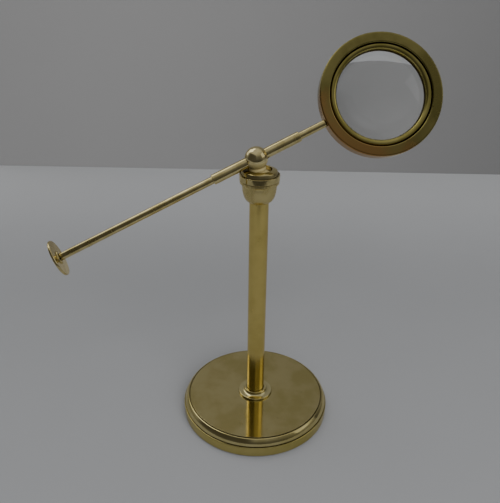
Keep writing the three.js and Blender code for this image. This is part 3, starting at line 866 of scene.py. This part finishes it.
# %% Table and wall
# Painted light: the table is paler towards the wall, and the wall is darker to the right.
TABLE_LIT_FAR = (0.345, 0.35, 0.358)
TABLE_SHADED_CLOSE = (0.218, 0.222, 0.228)
TABLE_LIGHT_FADE = 0.4
TABLE_NEAR = 0.41
TABLE_SIDE = 3.0
WALL_LIT_LEFT = (0.28, 0.278, 0.278)
WALL_SHADED_RIGHT = (0.165, 0.165, 0.165)
WALL_LIGHT_FADE = 0.12, 1.0
WALL_BEHIND = 0.5487
WALL_TOP = 0.95
WALL_LEFT, WALL_RIGHT = -0.44, 3.0
MOTTLE = (0.5, 0.5, 0.5)
MOTTLE_SHARE = 0.06
CARD_SHADE = (0.07, 0.068, 0.066)
CARD_SIDE = math.radians(226)
CARD_REACH = 0.45
CARD_WIDE, CARD_HIGH, CARD_TOP = 1.0, 0.7, 0.74

room = Matrix.Rotation(math.radians(-16.05), 4, "Z")
upright = Matrix.Rotation(QUARTER, 4, "X")


def stage_material(name, first, second, axis, start, end):
    """Matt paint with painted light that falls off from start to end along an axis, and a faint
    mottle.
    """
    material, tree, shader = blank(name)
    place = add(tree, "TexCoord").outputs["Object"]
    along = add(tree, "SeparateXYZ", Vector=place).outputs[axis]
    # Painted light: the colour goes from the first to the second as the light falls off.
    plain = mix(tree, spread(tree, along, start, end, 0.0, 1.0), first, second)
    mottle = math_node(tree, "MULTIPLY", noise(tree, place, 14.0, Detail=3.0), MOTTLE_SHARE)
    feed(tree, shader.inputs["Base Color"], mix(tree, mottle, plain, MOTTLE, "MULTIPLY"))
    shader.inputs["Roughness"].default_value = 0.7
    shader.inputs["Specular IOR Level"].default_value = 0.2
    return material, tree, shader


def add_sheet(name, material, width, height, place):
    """A flat sheet with its own coordinates in metres, put in its place in the room."""
    mesh = bmesh.new()
    bmesh.ops.create_grid(mesh, x_segments=1, y_segments=1, size=0.5)
    bmesh.ops.scale(mesh, vec=(width, height, 1), verts=mesh.verts)
    data = bpy.data.meshes.new(name)
    mesh.to_mesh(data)
    mesh.free()
    data.materials.append(material)
    sheet = bpy.data.objects.new(name, data)
    sheet.matrix_world = room @ place
    bpy.context.scene.collection.objects.link(sheet)
    print(name, width, "by", height, "m")
    return sheet


def add_table():
    depth = WALL_BEHIND + TABLE_NEAR
    paint, _, _ = stage_material("table_top", TABLE_SHADED_CLOSE, TABLE_LIT_FAR, "Y",
                                 depth / 2 - TABLE_LIGHT_FADE, depth / 2)
    middle = Matrix.Translation((0, WALL_BEHIND - depth / 2, 0))
    add_sheet("table", paint, 2 * TABLE_SIDE, depth, middle)


def add_wall():
    long = WALL_RIGHT - WALL_LEFT
    start, end = [reach - long / 2 for reach in WALL_LIGHT_FADE]
    paint, tree, shader = stage_material("wall_with_painted_light", WALL_LIT_LEFT, WALL_SHADED_RIGHT, "X", start, end)
    back = add(tree, "NewGeometry").outputs["Backfacing"]
    clear = add(tree, "BsdfTransparent")
    mix_surface(tree, back, shader.outputs["BSDF"], clear.outputs["BSDF"])
    middle = Matrix.Translation((WALL_LEFT + long / 2, WALL_BEHIND, WALL_TOP / 2))
    add_sheet("wall", paint, long, WALL_TOP, middle @ upright)


def card_material():
    """Dark cloth in the middle, which fades out towards the edges."""
    material, tree, _ = blank("dark_card")
    place = add(tree, "TexCoord").outputs["Object"]
    parts = add(tree, "SeparateXYZ", Vector=place)
    aside = math_node(tree, "ABSOLUTE", parts.outputs["X"])
    upward = math_node(tree, "ABSOLUTE", parts.outputs["Y"])
    across = spread(tree, aside, 0.3 * CARD_WIDE, 0.5 * CARD_WIDE, 1.0, 0.0)
    up = spread(tree, upward, 0.38 * CARD_HIGH, 0.5 * CARD_HIGH, 1.0, 0.0)
    clear = add(tree, "BsdfTransparent")
    cloth = add(tree, "Emission", Color=(*CARD_SHADE, 1), Strength=1.0)
    mix_surface(tree, math_node(tree, "MULTIPLY", across, up),
                clear.outputs["BSDF"], cloth.outputs["Emission"])
    return material


def add_dark_card():
    """Stands for the photographer: a soft dark shape that only the polished metal can see."""
    facing = Matrix.Rotation(-CARD_SIDE, 4, "Z")
    middle = facing @ Matrix.Translation((0, CARD_REACH, CARD_TOP - CARD_HIGH / 2))
    card = add_sheet("dark_card", card_material(), CARD_WIDE, CARD_HIGH, middle @ upright)
    for ray in ("camera", "diffuse", "transmission", "shadow", "volume_scatter"):
        setattr(card, "visible_" + ray, False)


add_table()
add_wall()
add_dark_card()

# %% [markdown]
# The light is a dull day indoors. Two broad soft lights, from above and from the front, set the
# level and are kept out of the reflections. A window in two parts, high and low, stands behind on
# the left, and a weaker one is on the right. Each lamp is given by its direction, its size and
# how bright its face looks. The world is the rest of the room: plain at the sides, with a pale
# ceiling, and dark where the photographer stands.

# %% Lamps and world
LAMP_TARGET = Vector((0, 0, 0.15))
OVERHEAD = 80
TOWARDS_CAMERA = Vector((-0.1, -1, 0)).normalized()
ROOM_LOW, ROOM_HIGH = 0.13, 0.24
CEILING_GLOW = 0.22
CAMERA_SHADE = 0.55


def add_lamp(name, azimuth, elevation, distance, width, height, level, glossy=True):
    """Azimuth runs clockwise from straight behind the object, as the photograph shows it."""
    data = bpy.data.lights.new(name, "AREA")
    data.shape = "RECTANGLE"
    data.size, data.size_y = width, height
    data.energy = level * math.pi * width * height
    lamp = bpy.data.objects.new(name, data)
    lamp.visible_glossy = glossy
    lamp.visible_camera = lamp.visible_transmission = False
    bpy.context.scene.collection.objects.link(lamp)
    side, up = math.radians(azimuth), math.radians(elevation)
    flat = math.cos(up)
    towards = Vector((math.sin(side) * flat, math.cos(side) * flat, math.sin(up)))
    place = LAMP_TARGET + room.to_3x3() @ towards * distance
    head_up = Vector((0, 0, 1)) if elevation < OVERHEAD else Vector((0, 1, 0))
    lamp.matrix_world = aimed(place, LAMP_TARGET - place, head_up)
    print(name, round(data.energy, 2), "W")


def add_world():
    """How bright the room looks: plain at the sides, dark in front, with a pale ceiling."""
    world = bpy.data.worlds.new("dull_room")
    bpy.context.scene.world = world
    world.use_nodes = True
    tree = world.node_tree
    background = tree.nodes["Background"]
    direction = add(tree, "TexCoord").outputs["Generated"]
    height = add(tree, "SeparateXYZ", Vector=direction).outputs["Z"]
    facing = dot_product(tree, direction, room.to_3x3() @ TOWARDS_CAMERA)
    front = spread(tree, facing, 0.0, 0.75, 0.0, 1.0)
    low = spread(tree, height, 0.3, 0.75, CAMERA_SHADE, 0.0)
    light = math_node(tree, "SUBTRACT", 1.0, math_node(tree, "MULTIPLY", front, low))
    plain = spread(tree, height, -0.2, 0.3, ROOM_LOW, ROOM_HIGH)
    ceiling = spread(tree, height, 0.55, 0.97, 0.0, CEILING_GLOW)
    level = math_node(tree, "MULTIPLY", math_node(tree, "ADD", plain, ceiling), light)
    grey = add(tree, "CombineColor", Red=level, Green=level, Blue=level)
    feed(tree, background.inputs["Color"], grey.outputs["Color"])
    background.inputs["Strength"].default_value = 1.0


add_world()
add_lamp("ceiling_light", azimuth=0, elevation=90, distance=1.6, width=1.8, height=1.8,
         level=1.35, glossy=False)
add_lamp("front_light", azimuth=158, elevation=35, distance=1.8, width=1.8, height=1.4,
         level=4.7, glossy=False)
add_lamp("left_window", azimuth=-50, elevation=50, distance=1.6, width=1.1, height=1.05,
         level=1.2)
add_lamp("left_window_low", azimuth=-62, elevation=20, distance=1.6, width=0.75, height=0.5,
         level=0.65)
add_lamp("right_window", azimuth=98, elevation=30, distance=1.6, width=1.0, height=0.9,
         level=0.45)
